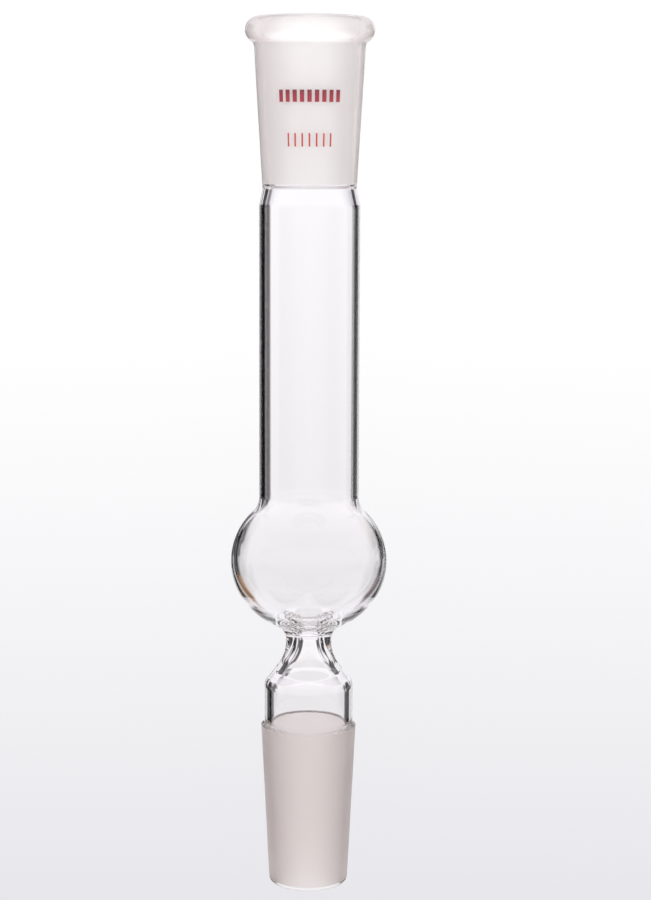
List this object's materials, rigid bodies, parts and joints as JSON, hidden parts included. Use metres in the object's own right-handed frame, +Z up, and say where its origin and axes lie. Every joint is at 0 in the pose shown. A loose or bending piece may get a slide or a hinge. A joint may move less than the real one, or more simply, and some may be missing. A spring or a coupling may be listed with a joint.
{
  "type": "drying tube",
  "caption": "Straight glass drying tube with a single bulb, a conical ground socket with a beaded rim and a matching ground cone.",
  "frame": {"origin": "on the surface that the tube lies on, under its axis and midway between its two ends", "axes": "+Y along the tube towards the socket, +Z up, +X across; the tube's own axis dips 1.6 degrees towards the socket"},
  "size_m": [0.0392, 0.2188, 0.0392],
  "materials": {
    "clear_glass": "clear borosilicate glass, flame-worked and smooth",
    "ground_glass": "fine-ground white matt surface of the socket and the cone",
    "red_print": "thin fired enamel print, plain fields only"
  },
  "bodies": {
    "root": {"drying_tube": "clear_glass"}
  },
  "joints": []
}
